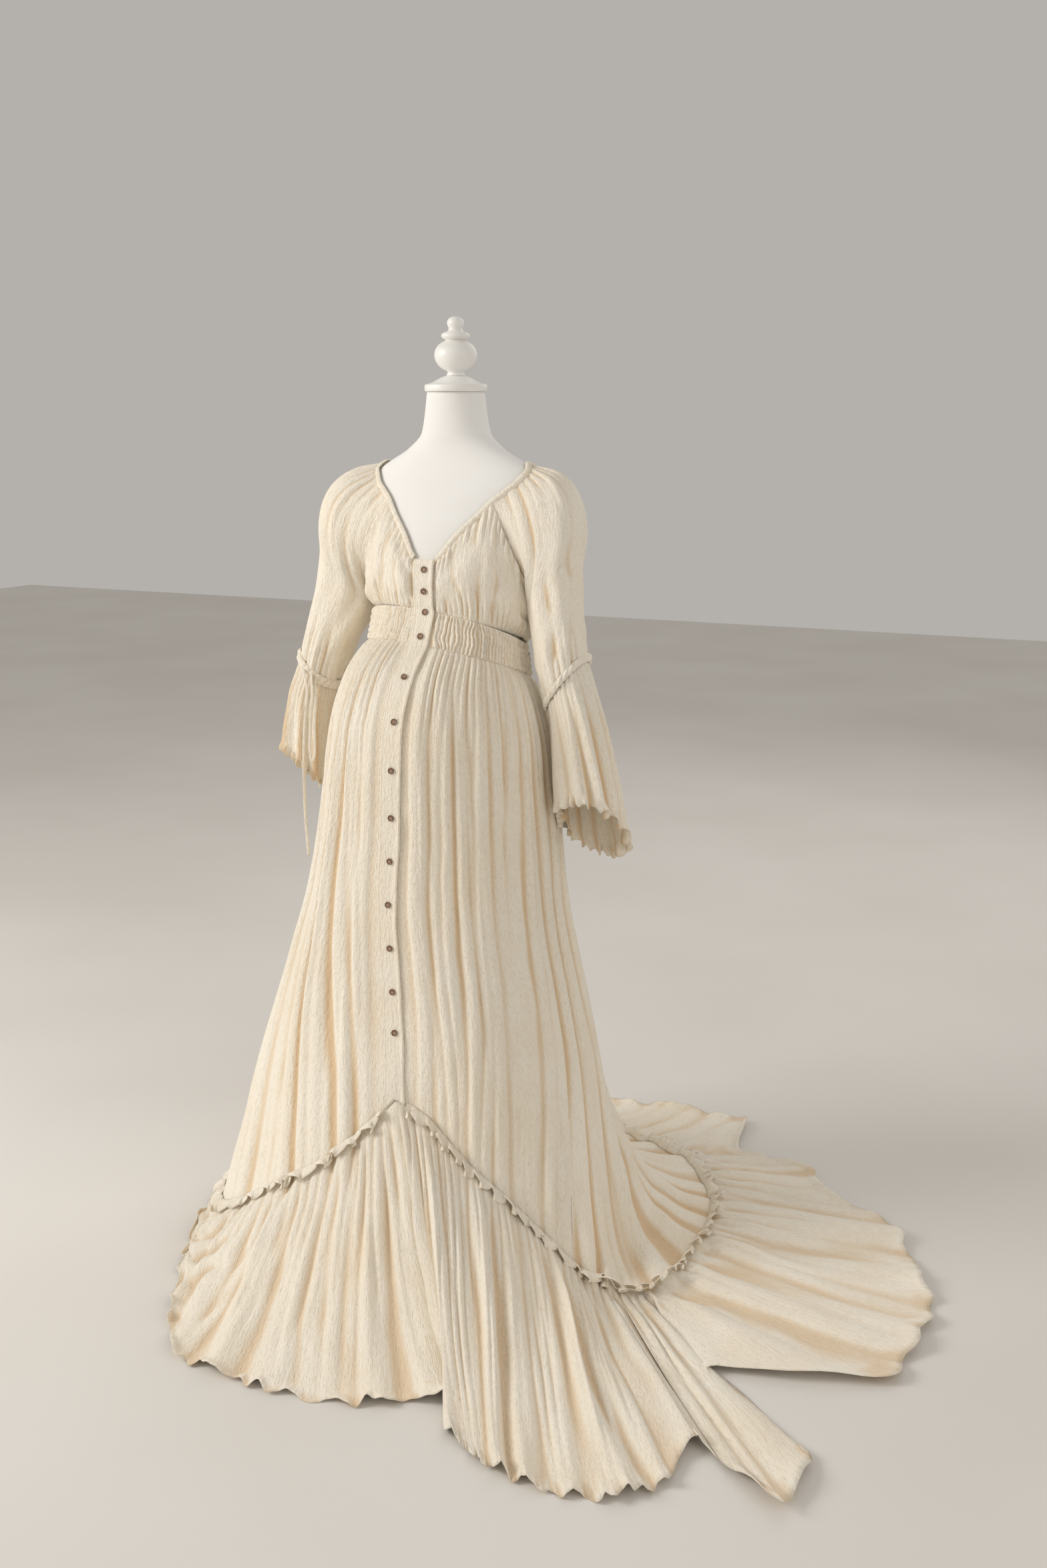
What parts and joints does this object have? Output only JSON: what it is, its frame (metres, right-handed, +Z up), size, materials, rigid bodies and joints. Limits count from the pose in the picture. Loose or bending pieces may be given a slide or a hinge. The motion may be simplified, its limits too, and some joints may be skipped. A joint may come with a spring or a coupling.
{
  "type": "maxi dress on dress form",
  "caption": "Button-front maxi dress in cream crinkle gauze with bell sleeves, gathered flounce and a train, worn by a limbless white dress form on a round foot.",
  "frame": {"origin": "middle of the underside of the dress form's foot, on the floor", "axes": "+Z up; -Y is the way the form faces; +X is the wearer's left, where the train sweeps"},
  "size_m": [1.39, 1.3935, 1.6716],
  "materials": {
    "cotton_gauze": "crinkled matte double gauze",
    "form_cover": "smooth matte white jersey",
    "white_wood": "satin white paint",
    "white_metal": "satin white paint",
    "coconut_shell": "polished brown"
  },
  "bodies": {
    "root": {"bodice_back": "cotton_gauze", "bodice_front_left": "cotton_gauze", "bodice_front_right": "cotton_gauze", "button_1": "coconut_shell", "button_10": "coconut_shell", "button_11": "coconut_shell", "button_12": "coconut_shell", "button_13": "coconut_shell", "button_2": "coconut_shell", "button_3": "coconut_shell", "button_4": "coconut_shell", "button_5": "coconut_shell", "button_6": "coconut_shell", "button_7": "coconut_shell", "button_8": "coconut_shell", "button_9": "coconut_shell", "elbow_casing_left": "cotton_gauze", "elbow_casing_right": "cotton_gauze", "form_finial": "white_wood", "form_foot": "white_metal", "form_neck_cap": "white_wood", "form_pole": "white_metal", "form_torso": "form_cover", "hem_flounce_back": "cotton_gauze", "hem_flounce_front_left": "cotton_gauze", "hem_flounce_front_right": "cotton_gauze", "neck_casing": "cotton_gauze", "placket": "cotton_gauze", "seam_frill_back": "cotton_gauze", "seam_frill_front_left": "cotton_gauze", "seam_frill_front_right": "cotton_gauze", "skirt_back": "cotton_gauze", "skirt_front_left": "cotton_gauze", "skirt_front_right": "cotton_gauze", "sleeve_flounce_left": "cotton_gauze", "sleeve_flounce_right": "cotton_gauze", "sleeve_left": "cotton_gauze", "sleeve_right": "cotton_gauze", "smocked_band_back": "cotton_gauze", "smocked_band_front_left": "cotton_gauze", "smocked_band_front_right": "cotton_gauze", "tie_end": "cotton_gauze", "tie_loop": "cotton_gauze"}
  },
  "joints": []
}
